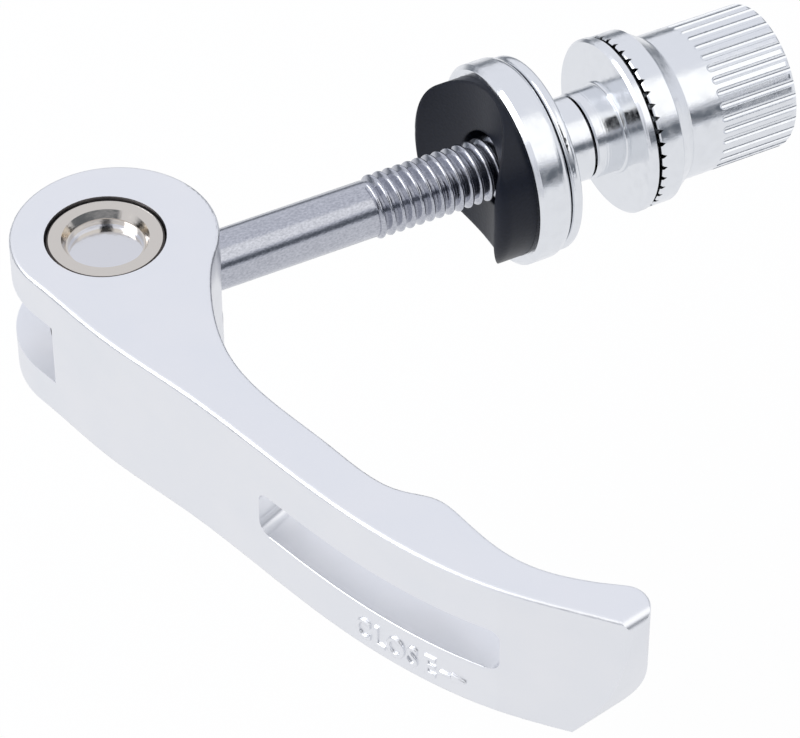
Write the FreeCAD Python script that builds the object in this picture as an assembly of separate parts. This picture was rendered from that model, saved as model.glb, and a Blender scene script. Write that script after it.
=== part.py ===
import FreeCAD, Part
import math
import os

V = FreeCAD.Vector

# Modelled from the point where the pivot pin's axis meets the rod's axis, +X along the rod
# towards the nut and +Z along the pin, then moved so that the origin is the middle of the
# gap that grips the seat collar. Millimetres.

# Fits
hinge_gap = 0.05          # pin in the lever's eye
thread_gap = 0.05         # rod in the nut
slide_gap = 0.30          # rod in the bushes
seat_gap = 0.02           # parts pressed together
face_gap = 0.15           # between faces that turn or part
rod_side_gap = 0.55       # rod in the lever's fork

# Rod
shank_r = 2.66
thread_r = 2.95
thread_start = 26.0
rod_short = 1.4           # rod's end inside the nut
rod_depth = 3.0           # past the pin's axis
rod_tip_bevel = 0.7

# Pivot pin
pin_set = 0.2             # pin's end below the lever's face
pin_edge = 0.42
pin_lip = 1.45            # flat ring round the recess
recess_depth = 1.45
recess_step = 0.7
recess_ledge = 0.4
recess_draft = 0.2

# Lever, its plan given in head radii across and handle reaches along
lever_half = 7.15
head_r = 9.15
handle_reach = 61.4
cam_throw = 0.85          # head centre ahead of the pin axis
eye_wall = 3.8
fork_floor = 4.6          # fork's end wall, measured below the pin axis
outer_leave = 195.0       # where the outer face leaves the head, degrees
inner_leave = -40.0
edge_r = 0.4
outer_ratio = ((-0.645, -0.184), (-0.301, -0.337), (0.311, -0.653), (1.033, -0.865), (1.825, -1.0))
inner_ratio = ((0.565, -0.170), (0.319, -0.316), (0.590, -0.523), (0.721, -0.598), (0.874, -0.642),
              (1.115, -0.681), (1.202, -0.726), (1.333, -0.811), (1.628, -0.8795), (1.858, -0.911))
tip_ratio = (2.475, -0.980)
tip_inner_r = 2.15        # rounds the tip's inner corner
tip_outer_r = 0.8
tip_sweep_r = 22.5        # curve that leans the tip's end face back towards the bottom
tip_sweep_z = 5.5         # height where that curve starts
tip_top_r = 1.1
slot_from_ratio = (-0.033, -0.487)
slot_to_ratio = (1.104, -0.866)
slot_high = 4.5
slot_corner = 1.1

# Saddle pad
pad_r = 8.6
pad_front = 34.5
pad_thick = 5.5
pad_dome = 1.3            # rounds the pad's front rim
trough_play = 0.4         # trough's radius over the cam head's
horn_wide = 1.2           # pad left beside the trough's mouth
pad_hole_r = 3.6
pad_dent = 0.6

# Cup washer
cup_wall = 0.98
cup_lip = 1.7             # how far the cup reaches over the pad
cup_floor = 1.68
cup_lip_bevel = 0.4
cup_shoulder = 1.0
cup_hole_r = 4.6

# Cam-side bush
ring_step = 0.3           # ring's radius under the cup's
ring_thick = 1.1
ring_nose = 0.5
spigot_r = 4.5
spigot_long = 1.2
hub_r = 4.05
hub_long = 4.28

# Nut-side bush
sleeve_r = 4.15
disc_r = 8.4
sleeve_long = 3.05
disc_thick = 1.1
disc_bevel = 0.25

# Adjusting nut
flange_step = 0.1         # flange's radius under the disc's
flange_thick = 2.45
neck_long = 1.7
body_r = 7.0
grip_long = 11.3          # body past the neck
nut_edge = 0.7
tooth_count = 42
tooth_deep = 0.55
tooth_wide = 0.75
tooth_inner_r = 6.3
flute_count = 36
flute_r = 0.42
flute_deep = 0.30
flute_gap = 3.5           # plain band before the flutes

# Derived fits
eye_r = head_r - eye_wall
pin_r = eye_r - hinge_gap
pin_half = lever_half - pin_set
recess_r = pin_r - pin_lip
recess_step_r = recess_r - recess_ledge
recess_floor_r = recess_step_r - recess_draft
trough_r = head_r + trough_play
trough_half = pad_r - horn_wide
fork_half = shank_r + rod_side_gap
bush_bore_r = thread_r + slide_gap
nut_bore_r = thread_r + thread_gap
cup_seat_r = pad_r + seat_gap
cup_r = cup_seat_r + cup_wall
ring_r = cup_r - ring_step
flange_r = disc_r - flange_step

# Places along the rod, each from the piece before it
pad_back = pad_front + pad_thick
cup_front = pad_back - cup_lip
cup_back = pad_back + seat_gap + cup_floor
ring_front = cup_back + seat_gap
ring_back = ring_front + ring_thick
hub_end = ring_back + hub_long
sleeve_start = hub_end + face_gap
disc_front = sleeve_start + sleeve_long
disc_back = disc_front + disc_thick
flange_front = disc_back + face_gap
flange_back = flange_front + flange_thick
neck_end = flange_back + neck_long
nut_end = neck_end + grip_long
flute_start = neck_end + flute_gap
rod_end = nut_end - rod_short
grip_middle = (ring_back + disc_front) / 2


def turned(points):
    """Solid of revolution about X from (x, r) corners; a middle triple makes an arc."""
    edges = []
    for a, b in zip(points, points[1:] + points[:1]):
        start = V(a[0], a[1], 0)
        end = V(b[0], b[1], 0)
        if len(b) == 4:
            edges.append(Part.Arc(start, V(b[2], b[3], 0), end).toShape())
        else:
            edges.append(Part.makeLine(start, end))
    face = Part.Face(Part.Wire(edges))
    return face.revolve(V(0, 0, 0), V(1, 0, 0), 360)


def round_to(x, r, mid_x, mid_r):
    """Corner reached by an arc through the middle point."""
    return (x, r, mid_x, mid_r)


def quarter(cx, cr, radius, degrees):
    a = math.radians(degrees)
    return cx + radius * math.cos(a), cr + radius * math.sin(a)


def make_rod():
    return turned([
        (-rod_depth, 0), (-rod_depth, shank_r),
        (thread_start - 0.6, shank_r), (thread_start, thread_r),
        (rod_end - rod_tip_bevel, thread_r), (rod_end, thread_r - rod_tip_bevel),
        (rod_end, 0)])


def make_pivot_pin():
    pin = Part.makeCylinder(pin_r, 2 * pin_half, V(0, 0, -pin_half))
    ends = [e for e in pin.Edges if e.Closed and abs(abs(e.CenterOfMass.z) - pin_half) < 0.01]
    pin = pin.makeFillet(pin_edge, ends)
    cuts = [Part.makeCylinder(shank_r + seat_gap, pin_r + rod_depth + seat_gap,
                              V(-rod_depth - seat_gap, 0, 0), V(1, 0, 0))]
    for side in (1, -1):
        up = V(0, 0, side)
        step_at = pin_half - recess_step
        floor_at = pin_half - recess_depth
        cuts.append(Part.makeCone(recess_step_r, recess_r, recess_step, up * step_at, up))
        cuts.append(Part.makeCone(recess_floor_r, recess_step_r - 0.12, recess_depth - recess_step,
                                  up * floor_at, up))
    for tool in cuts:
        pin = pin.cut(tool)
    return pin


def head_point(degrees):
    a = math.radians(degrees)
    return V(cam_throw + head_r * math.cos(a), head_r * math.sin(a), 0)


def head_tangent(degrees, turn):
    a = math.radians(degrees)
    return V(-math.sin(a), math.cos(a), 0) * turn


def curve(points, start_tangent, end_tangent):
    c = Part.BSplineCurve()
    c.interpolate(Points=points, InitialTangent=start_tangent, FinalTangent=end_tangent)
    return c.toShape()


def plan(point):
    return V(point[0] * head_r, point[1] * handle_reach, 0)


def unit(vector):
    return vector * (1 / vector.Length)


def corner(tip, before, after, radius):
    """Start, middle and end of the arc that rounds a sharp corner of the plan."""
    back = unit(before - tip)
    on = unit(after - tip)
    half_angle = back.getAngle(on) / 2
    reach = radius / math.tan(half_angle)
    deep = radius / math.sin(half_angle) - radius
    return tip + back * reach, tip + unit(back + on) * deep, tip + on * reach


def lever_outline():
    outer = [head_point(outer_leave)] + [plan(p) for p in outer_ratio]
    inner = [head_point(inner_leave)] + [plan(p) for p in inner_ratio]
    end = outer.pop()
    tip = plan(tip_ratio)
    near = corner(end, outer[-1], tip, tip_outer_r)
    far = corner(tip, end, inner[-1], tip_inner_r)
    top = head_point((outer_leave + inner_leave) / 2)
    return Part.Wire(Part.__sortEdges__([
        Part.Arc(head_point(inner_leave), top, head_point(outer_leave)).toShape(),
        curve(outer + [near[0]], head_tangent(outer_leave, 1), unit(end - outer[-1])),
        Part.Arc(*near).toShape(),
        Part.makeLine(near[2], far[0]),
        Part.Arc(*far).toShape(),
        curve(inner + [far[2]], head_tangent(inner_leave, -1), unit(tip - inner[-1]))]))


def tip_axes():
    """Outer end of the tip, the way across its end face and the way out of it."""
    end = plan(outer_ratio[-1])
    across = unit(plan(tip_ratio) - end)
    return end, across, across.cross(V(0, 0, 1))


def tip_tool(path, arc):
    end, across, out = tip_axes()
    edges = [arc] + [Part.makeLine(a, b) for a, b in zip(path, path[1:])]
    face = Part.Face(Part.Wire(edges))
    face.translate(across * -2 * head_r)
    return face.extrude(across * 4 * head_r)


def tip_sweep():
    """Leans the end face back towards the bottom along a large arc."""
    end, across, out = tip_axes()
    low = lever_half + 1

    def on_arc(z):
        drop = tip_sweep_z - z
        back = tip_sweep_r - math.sqrt(tip_sweep_r ** 2 - drop ** 2)
        return end - out * back + V(0, 0, z)

    arc = Part.Arc(on_arc(-low), on_arc((tip_sweep_z - low) / 2), on_arc(tip_sweep_z)).toShape()
    far = end + out * lever_half
    path = [on_arc(tip_sweep_z), far + V(0, 0, tip_sweep_z), far + V(0, 0, -low), on_arc(-low)]
    return tip_tool(path, arc)


def tip_round():
    """Rounds the end face into the top."""
    end, across, out = tip_axes()
    r = tip_top_r
    start = end - out * r + V(0, 0, lever_half)
    finish = end + V(0, 0, lever_half - r)
    middle = end - out * r + V(0, 0, lever_half - r) + (out + V(0, 0, 1)) * (r * math.sqrt(0.5))
    far = end + out * lever_half
    path = [finish, far + V(0, 0, lever_half - r), far + V(0, 0, lever_half + r),
            start + V(0, 0, r), start]
    return tip_tool(path, Part.Arc(start, middle, finish).toShape())


def handle_slot():
    a = plan(slot_from_ratio)
    b = plan(slot_to_ratio)
    along = unit(b - a)
    through = V(0, 0, 1).cross(along)
    box = Part.makeBox((b - a).Length, 3 * head_r, slot_high)
    box.translate(V(0, -1.5 * head_r, -slot_high / 2))
    ends = [e for e in box.Edges if abs(e.tangentAt(e.FirstParameter).y) > 0.9]
    box = box.makeFillet(slot_corner, ends)
    box.Placement = FreeCAD.Placement(a, FreeCAD.Rotation(along, through, V(0, 0, 1), "XYZ"))
    return box


def make_lever():
    body = Part.Face(lever_outline()).extrude(V(0, 0, 2 * lever_half))
    body.translate(V(0, 0, -lever_half))
    rims = [e for e in body.Edges if abs(abs(e.CenterOfMass.z) - lever_half) < 0.01]
    body = body.makeFillet(edge_r, rims)
    fork = Part.makeBox(3 * head_r, 3 * head_r, 2 * fork_half,
                        V(-1.5 * head_r, -fork_floor, -fork_half))
    eye = Part.makeCylinder(eye_r, 2 * lever_half + 2, V(0, 0, -lever_half - 1))
    for tool in (eye, fork, handle_slot(), tip_sweep(), tip_round()):
        body = body.cut(tool)
    return body


def make_saddle_pad():
    pad = Part.makeCylinder(pad_r, pad_back - pad_front, V(pad_front, 0, 0), V(1, 0, 0))
    rim = [e for e in pad.Edges if abs(e.CenterOfMass.x - pad_front) < 0.01]
    pad = pad.makeFillet(pad_dome, rim)
    trough_x = pad_front - math.sqrt(trough_r ** 2 - trough_half ** 2)
    trough = Part.makeCylinder(trough_r, 4 * pad_r, V(trough_x, 0, -2 * pad_r))
    hole = Part.makeCylinder(pad_hole_r, pad_back, V(pad_front - 1, 0, 0), V(1, 0, 0))
    dent_at = quarter(pad_front + pad_dome, pad_r - pad_dome, pad_dome, 135)
    dent = Part.makeSphere(pad_dent, V(dent_at[0], dent_at[1], 0))
    for tool in (trough, hole, dent):
        pad = pad.cut(tool)
    return pad


def make_cup_washer():
    seat_floor = pad_back + seat_gap
    s = cup_shoulder
    mid = quarter(cup_back - s, cup_r - s, s, 45)
    return turned([
        (cup_front, cup_seat_r), (cup_front, cup_r - cup_lip_bevel),
        (cup_front + cup_lip_bevel, cup_r), (cup_back - s, cup_r),
        round_to(cup_back, cup_r - s, mid[0], mid[1]),
        (cup_back, cup_hole_r), (seat_floor, cup_hole_r), (seat_floor, cup_seat_r)])


def make_cam_side_bush():
    n = ring_nose
    front_mid = quarter(ring_front + n, ring_r - n, n, 135)
    back_mid = quarter(ring_back - n, ring_r - n, n, 45)
    return turned([
        (ring_front - spigot_long, bush_bore_r), (ring_front - spigot_long, spigot_r),
        (ring_front, spigot_r), (ring_front, ring_r - n),
        round_to(ring_front + n, ring_r, front_mid[0], front_mid[1]),
        (ring_back - n, ring_r),
        round_to(ring_back, ring_r - n, back_mid[0], back_mid[1]),
        (ring_back, hub_r), (hub_end - 0.15, hub_r), (hub_end, hub_r - 0.15),
        (hub_end, bush_bore_r)])


def make_nut_side_bush():
    b = disc_bevel
    return turned([
        (sleeve_start, bush_bore_r), (sleeve_start, sleeve_r - 0.15),
        (sleeve_start + 0.15, sleeve_r), (disc_front, sleeve_r),
        (disc_front, disc_r - b), (disc_front + b, disc_r),
        (disc_back - b, disc_r), (disc_back, disc_r - b), (disc_back, bush_bore_r)])


def tooth_tool():
    half = tooth_wide / 2
    corners = [V(flange_front - 0.2, -half, 0), V(flange_front + tooth_deep, 0, 0),
               V(flange_front - 0.2, half, 0)]
    face = Part.Face(Part.makePolygon(corners + corners[:1]))
    face.translate(V(0, 0, tooth_inner_r))
    return face.extrude(V(0, 0, flange_r - tooth_inner_r + 1))


def flute_tool():
    axis_r = body_r - flute_deep + flute_r
    bar = Part.makeCylinder(flute_r, nut_end + 1 - flute_start, V(flute_start, 0, axis_r),
                            V(1, 0, 0))
    return bar.fuse(Part.makeSphere(flute_r, V(flute_start, 0, axis_r)))


def ringed(tool, count):
    copies = []
    for i in range(count):
        c = tool.copy()
        c.rotate(V(0, 0, 0), V(1, 0, 0), 360.0 * i / count)
        copies.append(c)
    return Part.makeCompound(copies)


def make_adjusting_nut():
    e = nut_edge
    mid = quarter(nut_end - e, body_r - e, e, 45)
    nut = turned([
        (flange_front, nut_bore_r), (flange_front, flange_r - 0.2),
        (flange_front + 0.2, flange_r), (flange_back - 0.15, flange_r),
        (flange_back, flange_r - 0.15), (neck_end, body_r), (nut_end - e, body_r),
        round_to(nut_end, body_r - e, mid[0], mid[1]),
        (nut_end, nut_bore_r + 0.4), (nut_end - 0.4, nut_bore_r)])
    nut = nut.cut(ringed(tooth_tool(), tooth_count))
    return nut.cut(ringed(flute_tool(), flute_count))


def main():
    os.makedirs("parts", exist_ok=True)
    pieces = {
        "rod": make_rod(),
        "pivot_pin": make_pivot_pin(),
        "lever": make_lever(),
        "saddle_pad": make_saddle_pad(),
        "cup_washer": make_cup_washer(),
        "cam_side_bush": make_cam_side_bush(),
        "nut_side_bush": make_nut_side_bush(),
        "adjusting_nut": make_adjusting_nut(),
    }
    for name, shape in pieces.items():
        if len(shape.Solids) == 1:
            shape = shape.Solids[0]
        shape.translate(V(-grip_middle, 0, 0))
        print(name, shape.isValid(), len(shape.Solids), round(shape.Volume, 1))
        shape.exportStep("parts/" + name + ".step")


main()
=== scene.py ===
import bpy
import math
from mathutils import Matrix, Vector


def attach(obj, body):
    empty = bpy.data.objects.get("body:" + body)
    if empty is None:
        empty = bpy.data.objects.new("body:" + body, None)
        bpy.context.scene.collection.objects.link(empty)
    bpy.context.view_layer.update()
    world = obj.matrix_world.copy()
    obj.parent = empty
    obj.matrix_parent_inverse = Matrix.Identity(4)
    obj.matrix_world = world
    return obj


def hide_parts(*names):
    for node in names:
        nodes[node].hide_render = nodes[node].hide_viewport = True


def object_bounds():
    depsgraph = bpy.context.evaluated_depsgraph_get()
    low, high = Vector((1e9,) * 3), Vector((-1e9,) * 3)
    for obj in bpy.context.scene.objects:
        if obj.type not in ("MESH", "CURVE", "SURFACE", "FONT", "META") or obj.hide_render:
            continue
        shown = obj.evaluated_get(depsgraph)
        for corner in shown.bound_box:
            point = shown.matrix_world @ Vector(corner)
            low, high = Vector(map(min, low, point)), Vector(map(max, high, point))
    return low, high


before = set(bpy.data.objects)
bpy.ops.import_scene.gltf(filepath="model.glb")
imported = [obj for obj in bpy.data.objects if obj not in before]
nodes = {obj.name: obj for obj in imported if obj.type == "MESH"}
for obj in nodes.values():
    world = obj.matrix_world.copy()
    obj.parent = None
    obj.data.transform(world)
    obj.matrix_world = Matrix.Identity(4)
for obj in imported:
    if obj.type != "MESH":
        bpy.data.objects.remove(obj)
cadBox = [list(c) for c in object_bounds()]
mm = 0.001
print("stage: frame loaded")


# colours and nodes

def linear(hexColour):
    parts = [int(hexColour[i:i + 2], 16) / 255 for i in (1, 3, 5)]
    return tuple(c / 12.92 if c <= 0.04045 else ((c + 0.055) / 1.055) ** 2.4 for c in parts) + (1.0,)


def addNode(tree, kind, settings=None, inputs=None):
    node = tree.nodes.new(kind)
    for key, value in (settings or {}).items():
        setattr(node, key, value)
    for key, value in (inputs or {}).items():
        if isinstance(value, bpy.types.NodeSocket):
            tree.links.new(value, node.inputs[key])
        else:
            node.inputs[key].default_value = value
    return node


def newMaterial(name, colour, metallic, roughness):
    mat = bpy.data.materials.new(name)
    mat.use_nodes = True
    shader = mat.node_tree.nodes["Principled BSDF"]
    shader.inputs["Base Color"].default_value = linear(colour)
    shader.inputs["Metallic"].default_value = metallic
    shader.inputs["Roughness"].default_value = roughness
    return mat, mat.node_tree, shader


def perMm(size):
    return 1000.0 / size    # noise scale for a feature of that many millimetres


# silver anodised aluminium, forged and polished: soft pale sheen, faint polishing clouds
# the grit is drawn coarser than the real one, so that it shows

leverLook = {"colour": "#f3f3f5", "dull": "#eceef2", "roughness": 0.3, "polish": 0.04, "haze": 0.06,
             "cloud": 6.0, "grit": 0.16, "gritDepth": 0.004, "gritStrength": 0.25}


def leverMaterial():
    look = leverLook
    mat, tree, shader = newMaterial("anodisedAluminium", look["colour"], 1.0, look["roughness"])
    place = addNode(tree, "ShaderNodeTexCoord")
    cloud = addNode(tree, "ShaderNodeTexNoise", None,
                    {"Vector": place.outputs["Object"], "Scale": perMm(look["cloud"]), "Detail": 3.0})
    tint = addNode(tree, "ShaderNodeMix", {"data_type": "RGBA"},
                   {"Factor": cloud.outputs["Fac"], "A": linear(look["colour"]), "B": linear(look["dull"])})
    tree.links.new(tint.outputs["Result"], shader.inputs["Base Color"])
    gloss = addNode(tree, "ShaderNodeMapRange", None,
                    {"Value": cloud.outputs["Fac"], "To Min": look["roughness"] - look["polish"],
                     "To Max": look["roughness"] + look["haze"]})
    tree.links.new(gloss.outputs["Result"], shader.inputs["Roughness"])
    grit = addNode(tree, "ShaderNodeTexNoise", None,
                   {"Vector": place.outputs["Object"], "Scale": perMm(look["grit"]), "Detail": 2.0})
    bump = addNode(tree, "ShaderNodeBump", None,
                   {"Height": grit.outputs["Fac"], "Distance": look["gritDepth"] * mm,
                    "Strength": look["gritStrength"]})
    tree.links.new(bump.outputs["Normal"], shader.inputs["Normal"])
    return mat


# turned aluminium: mirror bright, with fine rings round the rod's axis left by the lathe, faint stains and
# specks, and painted shade at the nut's teeth and behind the cup: dark lines for the shadow in the gaps
# the rings and specks are drawn coarser than the real ones, so that they show

turnedLook = {"colour": "#e9ebee", "roughness": 0.12, "polish": 0.05, "haze": 0.13, "ring": 0.2,
              "ringDepth": 0.035, "ringStrength": 0.3, "stain": 0.9, "stainFrom": 0.35, "stainTo": 0.65,
              "speck": 0.15, "speckShare": 0.5,
              "seamShades": ((4.845, 5.06, "#26282b"), (-4.9, -4.79, "#70737a"))}    # from, to along the rod


def turnedMaterial():
    look = turnedLook
    mat, tree, shader = newMaterial("turnedAluminium", look["colour"], 1.0, look["roughness"])
    place = addNode(tree, "ShaderNodeTexCoord")
    parts = addNode(tree, "ShaderNodeSeparateXYZ", None, {"Vector": place.outputs["Object"]})
    side = addNode(tree, "ShaderNodeCombineXYZ", None, {"Y": parts.outputs["Y"], "Z": parts.outputs["Z"]})
    radius = addNode(tree, "ShaderNodeVectorMath", {"operation": "LENGTH"}, {0: side.outputs["Vector"]})
    ringPlace = addNode(tree, "ShaderNodeCombineXYZ", None,
                        {"X": parts.outputs["X"], "Y": radius.outputs["Value"]})
    rings = addNode(tree, "ShaderNodeTexNoise", None,
                    {"Vector": ringPlace.outputs["Vector"], "Scale": perMm(look["ring"]), "Detail": 3.0})
    stains = addNode(tree, "ShaderNodeTexNoise", None,
                     {"Vector": place.outputs["Object"], "Scale": perMm(look["stain"]), "Detail": 5.0})
    gloss = addNode(tree, "ShaderNodeMapRange", None,
                    {"Value": stains.outputs["Fac"], "From Min": look["stainFrom"], "From Max": look["stainTo"],
                     "To Min": look["roughness"] - look["polish"], "To Max": look["roughness"] + look["haze"]})
    tree.links.new(gloss.outputs["Result"], shader.inputs["Roughness"])
    specks = addNode(tree, "ShaderNodeTexNoise", None,
                     {"Vector": place.outputs["Object"], "Scale": perMm(look["speck"]), "Detail": 2.0})
    colour = linear(look["colour"])
    # painted shade: each dark band along the rod stands for the shadow in a gap, not a colour of the metal
    for start, end, shade in look["seamShades"]:
        after = addNode(tree, "ShaderNodeMath", {"operation": "GREATER_THAN"},
                        {0: parts.outputs["X"], 1: start * mm})
        before = addNode(tree, "ShaderNodeMath", {"operation": "LESS_THAN"},
                         {0: parts.outputs["X"], 1: end * mm})
        within = addNode(tree, "ShaderNodeMath", {"operation": "MULTIPLY"},
                         {0: after.outputs["Value"], 1: before.outputs["Value"]})
        tint = addNode(tree, "ShaderNodeMix", {"data_type": "RGBA"},
                       {"Factor": within.outputs["Value"], "A": colour, "B": linear(shade)})
        colour = tint.outputs["Result"]
    tree.links.new(colour, shader.inputs["Base Color"])
    relief = addNode(tree, "ShaderNodeMath", {"operation": "MULTIPLY_ADD"},
                     {0: specks.outputs["Fac"], 1: look["speckShare"], 2: rings.outputs["Fac"]})
    bump = addNode(tree, "ShaderNodeBump", None,
                   {"Height": relief.outputs["Value"], "Distance": look["ringDepth"] * mm,
                    "Strength": look["ringStrength"]})
    tree.links.new(bump.outputs["Normal"], shader.inputs["Normal"])
    return mat


# nickel-plated steel: warm, slightly yellow mirror, greyer on the recess floor, painted shade in the seam round
# its edge

nickelLook = {"colour": "#d7d1c9", "floor": "#dfdfe2", "floorAt": 5.75, "rim": "#4b4643", "rimAt": 4.99,
              "rimFrom": 6.2, "axisX": -46.56, "roughness": 0.1, "polish": 0.05, "haze": 0.1,
              "pit": 0.45, "pitDepth": 0.028, "pitStrength": 0.3}


def nickelMaterial():
    look = nickelLook
    mat, tree, shader = newMaterial("nickelPlatedSteel", look["colour"], 1.0, look["roughness"])
    place = addNode(tree, "ShaderNodeTexCoord")
    pits = addNode(tree, "ShaderNodeTexNoise", None,
                   {"Vector": place.outputs["Object"], "Scale": perMm(look["pit"]), "Detail": 3.0})
    gloss = addNode(tree, "ShaderNodeMapRange", None,
                    {"Value": pits.outputs["Fac"], "To Min": look["roughness"] - look["polish"],
                     "To Max": look["roughness"] + look["haze"]})
    tree.links.new(gloss.outputs["Result"], shader.inputs["Roughness"])

    # the recess floor, by its distance from the mid plane
    parts = addNode(tree, "ShaderNodeSeparateXYZ", None, {"Vector": place.outputs["Object"]})
    height = addNode(tree, "ShaderNodeMath", {"operation": "ABSOLUTE"}, {0: parts.outputs["Z"]})
    deep = addNode(tree, "ShaderNodeMath", {"operation": "LESS_THAN"},
                   {0: height.outputs["Value"], 1: look["floorAt"] * mm})
    tint = addNode(tree, "ShaderNodeMix", {"data_type": "RGBA"},
                   {"Factor": deep.outputs["Value"], "A": linear(look["colour"]), "B": linear(look["floor"])})

    # the painted shade in the seam, near the barrel's ends and far from the pin's axis
    across = addNode(tree, "ShaderNodeMath", {"operation": "SUBTRACT"},
                     {0: parts.outputs["X"], 1: look["axisX"] * mm})
    flat = addNode(tree, "ShaderNodeCombineXYZ", None, {"X": across.outputs["Value"], "Y": parts.outputs["Y"]})
    radius = addNode(tree, "ShaderNodeVectorMath", {"operation": "LENGTH"}, {0: flat.outputs["Vector"]})
    outer = addNode(tree, "ShaderNodeMath", {"operation": "GREATER_THAN"},
                    {0: radius.outputs["Value"], 1: look["rimAt"] * mm})
    end = addNode(tree, "ShaderNodeMath", {"operation": "GREATER_THAN"},
                  {0: height.outputs["Value"], 1: look["rimFrom"] * mm})
    shadedSeam = addNode(tree, "ShaderNodeMath", {"operation": "MULTIPLY"},
                   {0: outer.outputs["Value"], 1: end.outputs["Value"]})
    ringed = addNode(tree, "ShaderNodeMix", {"data_type": "RGBA"},
                     {"Factor": shadedSeam.outputs["Value"], "A": tint.outputs["Result"], "B": linear(look["rim"])})
    tree.links.new(ringed.outputs["Result"], shader.inputs["Base Color"])
    bump = addNode(tree, "ShaderNodeBump", None,
                   {"Height": pits.outputs["Fac"], "Distance": look["pitDepth"] * mm,
                    "Strength": look["pitStrength"]})
    tree.links.new(bump.outputs["Normal"], shader.inputs["Normal"])
    return mat


# zinc-plated steel: darker grey, with a frosted grain drawn out a little along the shank
# the grain is coarser than the real one, so that it shows

zincLook = {"colour": "#dcdee6", "dark": "#8f919a", "roughness": 0.13, "polish": 0.08, "haze": 0.12,
            "grain": 0.16, "stretch": 0.6, "grainDepth": 0.02, "grainStrength": 0.35}


def zincMaterial():
    look = zincLook
    mat, tree, shader = newMaterial("zincPlatedSteel", look["colour"], 1.0, look["roughness"])
    place = addNode(tree, "ShaderNodeTexCoord")
    stretch = addNode(tree, "ShaderNodeMapping", None,
                      {"Vector": place.outputs["Object"], "Scale": (look["stretch"], 1.0, 1.0)})
    grain = addNode(tree, "ShaderNodeTexNoise", None,
                    {"Vector": stretch.outputs["Vector"], "Scale": perMm(look["grain"]), "Detail": 4.0})
    tint = addNode(tree, "ShaderNodeMix", {"data_type": "RGBA"},
                   {"Factor": grain.outputs["Fac"], "A": linear(look["dark"]), "B": linear(look["colour"])})
    tree.links.new(tint.outputs["Result"], shader.inputs["Base Color"])
    gloss = addNode(tree, "ShaderNodeMapRange", None,
                    {"Value": grain.outputs["Fac"], "To Min": look["roughness"] - look["polish"],
                     "To Max": look["roughness"] + look["haze"]})
    tree.links.new(gloss.outputs["Result"], shader.inputs["Roughness"])
    bump = addNode(tree, "ShaderNodeBump", None,
                   {"Height": grain.outputs["Fac"], "Distance": look["grainDepth"] * mm,
                    "Strength": look["grainStrength"]})
    tree.links.new(bump.outputs["Normal"], shader.inputs["Normal"])
    return mat


# black nylon, moulded with a fine spark-eroded texture: matte with a grey bloom and softened edges
# the grain is coarser than the real one, so that it shows

nylonLook = {"colour": "#0a0f1b", "pale": "#141a29", "roughness": 0.36, "shine": 0.28, "grain": 0.28,
             "grainDepth": 0.045, "grainStrength": 0.4, "edge": 0.45}


def nylonMaterial():
    look = nylonLook
    mat, tree, shader = newMaterial("mouldedNylon", look["colour"], 0.0, look["roughness"])
    shader.inputs["Specular IOR Level"].default_value = look["shine"]
    place = addNode(tree, "ShaderNodeTexCoord")
    grain = addNode(tree, "ShaderNodeTexNoise", None,
                    {"Vector": place.outputs["Object"], "Scale": perMm(look["grain"]), "Detail": 3.0})
    tint = addNode(tree, "ShaderNodeMix", {"data_type": "RGBA"},
                   {"Factor": grain.outputs["Fac"], "A": linear(look["colour"]), "B": linear(look["pale"])})
    tree.links.new(tint.outputs["Result"], shader.inputs["Base Color"])
    edge = addNode(tree, "ShaderNodeBevel", {"samples": 6}, {"Radius": look["edge"] * mm})
    bump = addNode(tree, "ShaderNodeBump", None,
                   {"Height": grain.outputs["Fac"], "Distance": look["grainDepth"] * mm,
                    "Strength": look["grainStrength"], "Normal": edge.outputs["Normal"]})
    tree.links.new(bump.outputs["Normal"], shader.inputs["Normal"])
    return mat


leverFinish = leverMaterial()
turnedFinish = turnedMaterial()
nickelFinish = nickelMaterial()
zincFinish = zincMaterial()
nylonFinish = nylonMaterial()
finishes = {"lever": leverFinish, "pivot_pin": nickelFinish, "rod": zincFinish, "saddle_pad": nylonFinish,
            "cup_washer": turnedFinish, "cam_side_bush": turnedFinish, "nut_side_bush": turnedFinish,
            "adjusting_nut": turnedFinish}
for name, finish in finishes.items():
    nodes[name].data.materials.clear()
    nodes[name].data.materials.append(finish)
print("stage: finishes on the solids")


# threaded rod

rodSize = {"shankRadius": 2.66, "coreRadius": 2.42, "crestRadius": 2.95, "pitch": 1.0, "start": -49.56,
           "threadStart": -20.9, "end": 19.04, "neck": 0.5, "tipBevel": 0.6, "tipShare": 0.8, "rootWidth": 0.9,
           "crestWidth": 0.24, "crestRound": 0.1, "ridgeSink": 0.1, "sides": 64, "turnSteps": 48,
           "smoothAngle": 35}


def deselectAll():
    if bpy.context.object and bpy.context.object.mode != "OBJECT":
        bpy.ops.object.mode_set(mode="OBJECT")
    bpy.ops.object.select_all(action="DESELECT")


def selectWhere(obj, test, kind):
    bpy.ops.object.mode_set(mode="EDIT")
    bpy.ops.mesh.select_mode(type=kind)
    bpy.ops.mesh.select_all(action="DESELECT")
    bpy.ops.object.mode_set(mode="OBJECT")
    group = {"VERT": obj.data.vertices, "FACE": obj.data.polygons}[kind]
    for item in group:
        item.select = test(item)
    bpy.ops.object.mode_set(mode="EDIT")


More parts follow.
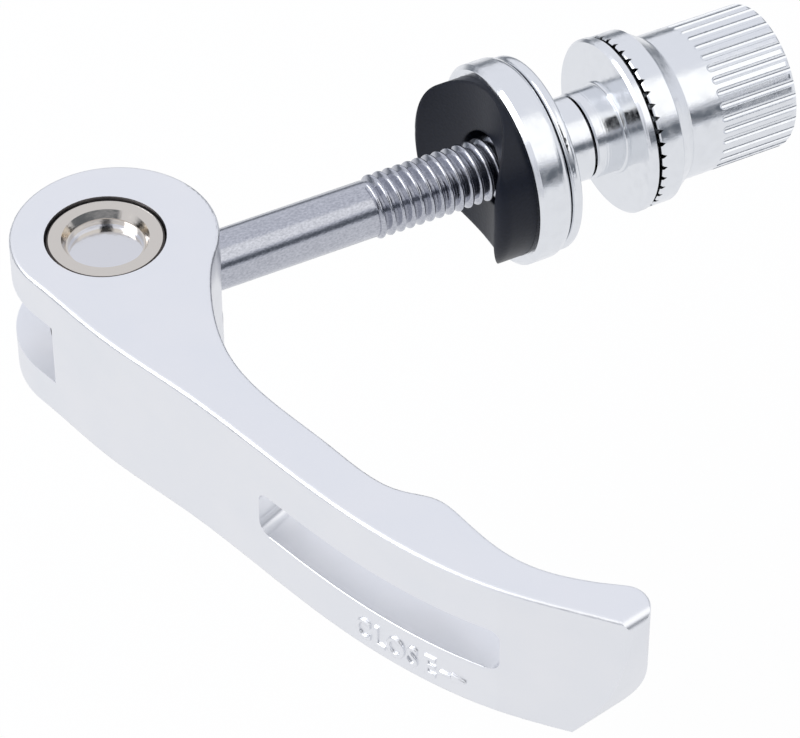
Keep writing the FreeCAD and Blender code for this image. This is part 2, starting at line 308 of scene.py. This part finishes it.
def makeRod():
    s = rodSize
    deselectAll()
    shank = s["threadStart"] - s["start"]
    bpy.ops.mesh.primitive_cylinder_add(vertices=s["sides"], radius=s["shankRadius"] * mm, depth=shank * mm,
                                        location=((s["start"] + shank / 2) * mm, 0, 0),
                                        rotation=(0, math.pi / 2, 0))
    core = bpy.context.object
    core.name = "threadedRod"
    bpy.ops.object.transform_apply(location=True, rotation=True, scale=True)
    selectWhere(core, lambda f: f.normal.x > 0.9, "FACE")
    steps = ((s["neck"], s["coreRadius"] / s["shankRadius"]),    # neck down to the thread's root
             (s["end"] - s["tipBevel"] - s["threadStart"] - s["neck"], 1.0),    # threaded length
             (s["tipBevel"], s["tipShare"]))    # bevel of the tip
    for move, shrink in steps:
        bpy.ops.mesh.extrude_region_move(TRANSFORM_OT_translate={"value": (move * mm, 0, 0)})
        bpy.ops.transform.resize(value=(1, shrink, shrink), center_override=(0, 0, 0))
    bpy.ops.object.mode_set(mode="OBJECT")

    # one tooth of the thread, swept round and along the rod
    deselectAll()
    low = s["coreRadius"] - s["ridgeSink"]
    middle = (s["crestRadius"] + low) / 2
    bpy.ops.mesh.primitive_plane_add(size=1, rotation=(math.pi / 2, 0, 0))
    ridge = bpy.context.object
    ridge.name = "threadRidge"
    bpy.ops.object.transform_apply(location=False, rotation=True, scale=False)
    bpy.ops.object.mode_set(mode="EDIT")
    bpy.ops.mesh.select_all(action="SELECT")
    bpy.ops.transform.resize(value=(s["rootWidth"] * mm, 1, (s["crestRadius"] - low) * mm),
                             center_override=(0, 0, 0))
    bpy.ops.transform.translate(value=(s["threadStart"] * mm, 0, middle * mm))
    bpy.ops.object.mode_set(mode="OBJECT")
    selectWhere(ridge, lambda v: v.co.z > middle * mm, "VERT")
    bpy.ops.transform.resize(value=(s["crestWidth"] / s["rootWidth"], 1, 1),
                             center_override=(s["threadStart"] * mm, 0, 0))
    bpy.ops.mesh.bevel(offset=s["crestRound"] * mm, segments=2, affect="VERTICES")
    bpy.ops.mesh.select_all(action="SELECT")
    bpy.ops.mesh.delete(type="ONLY_FACE")
    bpy.ops.object.mode_set(mode="OBJECT")
    screw = ridge.modifiers.new("thread", "SCREW")
    screw.axis = "X"
    screw.screw_offset = s["pitch"] * mm
    screw.iterations = int(s["end"] - s["tipBevel"] - s["threadStart"])
    screw.steps = screw.render_steps = s["turnSteps"]
    bpy.ops.object.modifier_apply(modifier=screw.name)
    bpy.ops.object.mode_set(mode="EDIT")
    bpy.ops.mesh.select_mode(type="EDGE")
    bpy.ops.mesh.select_all(action="DESELECT")
    bpy.ops.mesh.select_non_manifold()
    bpy.ops.mesh.fill()
    bpy.ops.mesh.select_all(action="SELECT")
    bpy.ops.mesh.normals_make_consistent(inside=False)
    bpy.ops.object.mode_set(mode="OBJECT")
    core.select_set(True)
    bpy.context.view_layer.objects.active = core
    bpy.ops.object.join()
    bpy.ops.object.shade_smooth_by_angle(angle=math.radians(s["smoothAngle"]))
    core.data.materials.clear()
    core.data.materials.append(zincFinish)
    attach(core, "skewer")
    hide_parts("rod")


makeRod()
print("stage: threaded rod")


# rounded foot where the nut side bush's sleeve meets its disc

footSize = {"face": 3.74, "sleeveRadius": 4.15, "round": 0.24, "standOff": 0.3, "sides": 12, "steps": 96,
            "weld": 0.005}


def makeSleeveFoot():
    s = footSize
    off = s["standOff"] * s["round"]    # how far its middle stands off both faces
    deselectAll()
    bpy.ops.mesh.primitive_circle_add(vertices=s["sides"], radius=s["round"] * mm, fill_type="NOTHING",
                                      rotation=(math.pi / 2, 0, 0),
                                      location=((s["face"] - off) * mm, 0, (s["sleeveRadius"] + off) * mm))
    foot = bpy.context.object
    foot.name = "sleeveFoot"
    bpy.ops.object.transform_apply(location=True, rotation=True, scale=True)
    bpy.ops.object.mode_set(mode="EDIT")
    bpy.ops.mesh.select_all(action="SELECT")
    bpy.ops.mesh.spin(steps=s["steps"], angle=2 * math.pi, center=(0, 0, 0), axis=(1, 0, 0))
    bpy.ops.mesh.select_all(action="SELECT")
    bpy.ops.mesh.remove_doubles(threshold=s["weld"] * mm)
    bpy.ops.mesh.normals_make_consistent(inside=False)
    bpy.ops.object.mode_set(mode="OBJECT")
    bpy.ops.object.shade_smooth()
    foot.data.materials.append(turnedFinish)
    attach(foot, "nut_carrier")


makeSleeveFoot()
print("stage: sleeve foot")


# raised lettering below the handle's slot, with an arrow towards the tip

letterSize = {"word": "CLOSE", "height": 2.15, "capShare": 0.72, "narrow": 0.8, "rise": 0.06, "round": 0.14,
              "thin": -0.04, "middle": -5.0, "first": (-43.13, -41.68), "last": (-40.33, -47.97),
              "side": (-0.88, -0.47), "reach": 8, "smoothAngle": 40}
arrowSize = {"tail": (-39.9, -48.8), "head": (-38.7, -51.0), "stroke": 0.42, "headWide": 1.0, "headTaper": 0.3,
             "shaftAt": 0.24, "shaftHalf": 0.24, "headAt": 0.74, "headHalf": 0.28}    # shares of its length


def seatOnLever(obj, spot, narrow=1.0):
    s = letterSize
    out = Vector(s["side"]).to_3d()
    aim = Vector((spot[0] * mm, spot[1] * mm, s["middle"] * mm))
    place, normal = nodes["lever"].ray_cast(aim + out * s["reach"] * mm, -out)[1:3]
    normal = Vector((normal.x, normal.y, 0)).normalized()
    along = Vector((-normal.y, normal.x, 0))
    turn = Matrix((along, Vector((0, 0, 1)), normal)).transposed().to_4x4()
    obj.matrix_world = Matrix.Translation(place) @ turn @ Matrix.Diagonal((narrow, 1, 1, 1))
    bpy.ops.object.transform_apply(location=True, rotation=True, scale=True)


def arrowBar(spot, half, wide, taper):
    high = letterSize["rise"] + letterSize["round"]
    deselectAll()
    bpy.ops.mesh.primitive_cube_add(size=2, scale=(half, wide / 2 * mm, high * mm))
    bar = bpy.context.object
    bpy.ops.object.transform_apply(location=False, rotation=False, scale=True)
    selectWhere(bar, lambda v: v.co.x > 0, "VERT")
    bpy.ops.transform.resize(value=(1, taper, 1), center_override=(0, 0, 0))
    bpy.ops.mesh.select_all(action="SELECT")
    bpy.ops.mesh.bevel(offset=letterSize["round"] * mm, segments=3, affect="EDGES")
    bpy.ops.object.mode_set(mode="OBJECT")
    seatOnLever(bar, spot)
    return bar


def makeLettering():
    s, a = letterSize, arrowSize
    pieces = []
    first, last = Vector(s["first"]), Vector(s["last"])
    for i, letter in enumerate(s["word"]):
        deselectAll()
        bpy.ops.object.text_add()
        obj = bpy.context.object
        obj.data.body = letter
        obj.data.size = s["height"] / s["capShare"] * mm
        obj.data.extrude = s["rise"] * mm
        obj.data.bevel_depth = s["round"] * mm
        obj.data.bevel_resolution = 2
        obj.data.offset = s["thin"] * mm
        obj.data.resolution_u = 4
        obj.data.align_x, obj.data.align_y = "CENTER", "CENTER"
        bpy.ops.object.convert(target="MESH")
        seatOnLever(bpy.context.object, first.lerp(last, i / (len(s["word"]) - 1)), s["narrow"])
        pieces.append(bpy.context.object)
    tail, head = Vector(a["tail"]), Vector(a["head"])
    long = (head - tail).length * mm
    pieces.append(arrowBar(tail.lerp(head, a["shaftAt"]), a["shaftHalf"] * long, a["stroke"], 1.0))
    pieces.append(arrowBar(tail.lerp(head, a["headAt"]), a["headHalf"] * long, a["headWide"], a["headTaper"]))
    deselectAll()
    for obj in pieces:
        obj.select_set(True)
    bpy.context.view_layer.objects.active = pieces[0]
    bpy.ops.object.join()
    words = bpy.context.object
    words.name = "closeLettering"
    bpy.ops.object.shade_smooth_by_angle(angle=math.radians(s["smoothAngle"]))
    words.data.materials.clear()
    words.data.materials.append(leverFinish)
    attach(words, "cam_lever")


makeLettering()
print("stage: lettering")


# fine rounded lip along the lower edge of the handle's slot

lipSize = {"first": (-46.35, -31.0), "last": (-37.0, -52.0), "low": -2.31, "round": 0.12, "sink": 0.03,
           "reach": 12, "sides": 10, "steps": 18, "smoothAngle": 60}


def makeSlotLip():
    s = lipSize
    first, last = Vector(s["first"]), Vector(s["last"])
    run = (last - first).normalized()
    out = Vector((run.y, -run.x, 0))
    spots = []    # points of the edge, found on the lever's outer face
    for i in range(s["steps"] + 1):
        at = first.lerp(last, i / s["steps"])
        aim = Vector((at.x * mm, at.y * mm, s["low"] * mm))
        place = nodes["lever"].ray_cast(aim + out * s["reach"] * mm, -out)[1]
        spots.append(place - out * s["sink"] * mm)
    deselectAll()
    bpy.ops.mesh.primitive_circle_add(vertices=s["sides"], radius=s["round"] * mm, fill_type="NGON",
                                      location=spots[0],
                                      rotation=run.to_3d().to_track_quat("Z", "Y").to_euler())
    lip = bpy.context.object
    lip.name = "slotLip"
    bpy.ops.object.transform_apply(location=True, rotation=True, scale=True)
    bpy.ops.object.mode_set(mode="EDIT")
    bpy.ops.mesh.select_all(action="SELECT")
    for here, there in zip(spots, spots[1:]):
        bpy.ops.mesh.extrude_region_move(TRANSFORM_OT_translate={"value": there - here})
    bpy.ops.mesh.select_all(action="SELECT")
    bpy.ops.mesh.normals_make_consistent(inside=False)
    bpy.ops.object.mode_set(mode="OBJECT")
    bpy.ops.object.shade_smooth_by_angle(angle=math.radians(s["smoothAngle"]))
    lip.data.materials.append(leverFinish)
    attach(lip, "cam_lever")


makeSlotLip()
print("stage: slot lip")


# floor of white studio paper: plain white to the camera, and dimmer far back where metal reflects it

paperWhite = "#ffffff"
edgeColour = "#7d828a"    # the dim edge low at the back, on the paper and in the tent
floorLook = {"drop": 45.0, "wide": 6000.0, "colour": "#f4f4f5", "roughness": 0.9, "shadow": 0.06,
             "gloss": "#f1f2f5", "near": 150.0, "far": 480.0}


def makeFloor():
    look = floorLook
    deselectAll()
    bpy.ops.mesh.primitive_plane_add(size=look["wide"] * mm, location=(0, 0, cadBox[0][2] - look["drop"] * mm))
    floor = bpy.context.object
    floor.name = "floor"
    mat, tree, shader = newMaterial("studioPaper", look["colour"], 0.0, look["roughness"])
    rays = addNode(tree, "ShaderNodeLightPath")
    sharp = addNode(tree, "ShaderNodeMath", {"operation": "MAXIMUM"},
                    {0: rays.outputs["Is Camera Ray"], 1: rays.outputs["Is Transmission Ray"]})
    seen = addNode(tree, "ShaderNodeMath", {"operation": "MAXIMUM"},
                   {0: sharp.outputs["Value"], 1: rays.outputs["Is Glossy Ray"]})
    share = addNode(tree, "ShaderNodeMath", {"operation": "MULTIPLY"},
                    {0: seen.outputs["Value"], 1: 1 - look["shadow"]})
    place = addNode(tree, "ShaderNodeTexCoord")
    away = addNode(tree, "ShaderNodeVectorMath", {"operation": "LENGTH"}, {0: place.outputs["Object"]})
    far = addNode(tree, "ShaderNodeMapRange", {"interpolation_type": "SMOOTHSTEP"},
                  {"Value": away.outputs["Value"], "From Min": look["near"] * mm, "From Max": look["far"] * mm})
    parts = addNode(tree, "ShaderNodeSeparateXYZ", None, {"Vector": place.outputs["Object"]})
    back = addNode(tree, "ShaderNodeMapRange", {"interpolation_type": "SMOOTHSTEP"},
                   {"Value": parts.outputs["Y"], "From Min": 0.0, "From Max": look["near"] * mm})
    rim = addNode(tree, "ShaderNodeMath", {"operation": "MULTIPLY"},
                  {0: far.outputs["Result"], 1: back.outputs["Result"]})
    fade = addNode(tree, "ShaderNodeMix", {"data_type": "RGBA"},
                   {"Factor": rim.outputs["Value"], "A": linear(look["gloss"]), "B": linear(edgeColour)})
    paper = addNode(tree, "ShaderNodeMix", {"data_type": "RGBA"},
                    {"Factor": rays.outputs["Is Glossy Ray"], "A": linear(paperWhite),
                     "B": fade.outputs["Result"]})
    white = addNode(tree, "ShaderNodeEmission", None, {"Color": paper.outputs["Result"], "Strength": 1.0})
    mix = addNode(tree, "ShaderNodeMixShader", None,
                  {0: share.outputs["Value"], 1: shader.outputs["BSDF"], 2: white.outputs["Emission"]})
    tree.links.new(mix.outputs["Shader"], tree.nodes["Material Output"].inputs["Surface"])
    floor.data.materials.append(mat)


# a light tent: pale all round, with a dim edge low at the back, a dark card at the front, a white box above it
# and the dark opening for the lens, which draw the white and black bands on the metal

tentLook = {"sky": "#eff1f8", "strength": 0.98, "card": "#6b7078", "boxGlow": 1.25, "lens": "#1c1d20",
            "lensSide": (-0.343, -0.647, 0.681), "lensFrom": 0.945, "lensTo": 0.965}
tentEdges = {"edge": (("Z", 0.16, 0.0), ("Y", 0.05, 0.4)),
             "card": (("Z", -0.02, 0.12), ("Z", 0.47, 0.27), ("Y", -0.35, -0.55)),
             "box": (("Z", 0.43, 0.53), ("Z", 0.97, 0.89), ("Y", -0.04, -0.2))}    # where each fades in


def makeWorld():
    look = tentLook
    world = bpy.data.worlds.new("studio")
    bpy.context.scene.world = world
    world.use_nodes = True
    tree = world.node_tree
    sky = tree.nodes["Background"]
    rays = addNode(tree, "ShaderNodeLightPath")
    place = addNode(tree, "ShaderNodeTexCoord")
    parts = addNode(tree, "ShaderNodeSeparateXYZ", None, {"Vector": place.outputs["Generated"]})
    amounts = {}
    for name, edges in tentEdges.items():
        for axis, start, end in edges:
            fade = addNode(tree, "ShaderNodeMapRange", {"interpolation_type": "SMOOTHSTEP"},
                           {"Value": parts.outputs[axis], "From Min": start, "From Max": end})
            amount = fade.outputs["Result"]
            if name in amounts:
                both = addNode(tree, "ShaderNodeMath", {"operation": "MULTIPLY"}, {0: amounts[name], 1: amount})
                amount = both.outputs["Value"]
            amounts[name] = amount
    toLens = addNode(tree, "ShaderNodeVectorMath", {"operation": "DOT_PRODUCT"},
                     {0: place.outputs["Generated"], 1: look["lensSide"]})
    dark = addNode(tree, "ShaderNodeMapRange", {"interpolation_type": "SMOOTHSTEP"},
                   {"Value": toLens.outputs["Value"], "From Min": look["lensFrom"], "From Max": look["lensTo"]})
    colour = linear(look["sky"])
    for amount, over in ((amounts["edge"], linear(edgeColour)), (amounts["card"], linear(look["card"])),
                         (amounts["box"], (look["boxGlow"],) * 3 + (1,)),
                         (dark.outputs["Result"], linear(look["lens"]))):
        layer = addNode(tree, "ShaderNodeMix", {"data_type": "RGBA"}, {"Factor": amount, "A": colour, "B": over})
        colour = layer.outputs["Result"]
    tree.links.new(colour, sky.inputs["Color"])
    sky.inputs["Strength"].default_value = look["strength"]
    plain = addNode(tree, "ShaderNodeBackground", None, {"Color": linear(paperWhite), "Strength": 1.0})
    mix = addNode(tree, "ShaderNodeMixShader", None,
                  {0: rays.outputs["Is Camera Ray"], 1: sky.outputs["Background"],
                   2: plain.outputs["Background"]})
    tree.links.new(mix.outputs["Shader"], tree.nodes["World Output"].inputs["Surface"])


# one soft lamp from the left, which lights the rounded edges

lampLook = {"place": (-0.5, 0.13, 0.34), "target": (-0.03, -0.02, 0), "size": (0.42, 0.38), "power": 1.5}


def makeLamp():
    look = lampLook
    data = bpy.data.lights.new("leftBox", "AREA")
    data.shape = "RECTANGLE"
    data.size, data.size_y = look["size"]
    data.energy = look["power"]
    lamp = bpy.data.objects.new("leftBox", data)
    bpy.context.scene.collection.objects.link(lamp)
    lamp.location = look["place"]
    lamp.rotation_mode = "QUATERNION"
    lamp.rotation_quaternion = (Vector(look["target"]) - Vector(look["place"])).to_track_quat("-Z", "Y")


# the photograph's camera: seen from the lever's side, 43 degrees down

shot = {"azimuth": -27.94, "elevation": 42.89, "distance": 351.6, "right": 25.55, "up": -6.27, "lens": 180.0,
        "sensor": 36, "pinX": -46.56}


def makeCamera():
    a, e = math.radians(shot["azimuth"]), math.radians(shot["elevation"])
    back = Vector((math.sin(a) * math.cos(e), -math.cos(a) * math.cos(e), math.sin(e)))
    right = Vector((math.cos(a), math.sin(a), 0))
    up = back.cross(right)
    data = bpy.data.cameras.new("camera")
    data.sensor_width = shot["sensor"]
    data.lens = shot["lens"]
    data.clip_start, data.clip_end = 0.01, 10
    cam = bpy.data.objects.new("camera", data)
    bpy.context.scene.collection.objects.link(cam)
    cam.rotation_mode = "QUATERNION"
    cam.rotation_quaternion = Matrix((right, up, back)).transposed().to_quaternion()
    offset = right * shot["right"] + up * shot["up"] + back * shot["distance"]
    cam.location = Vector((shot["pinX"] * mm, 0, 0)) + offset * mm
    bpy.context.scene.camera = cam


makeFloor()
makeWorld()
makeLamp()
makeCamera()
bpy.context.scene.view_settings.view_transform = "Standard"
print("stage: room and camera")
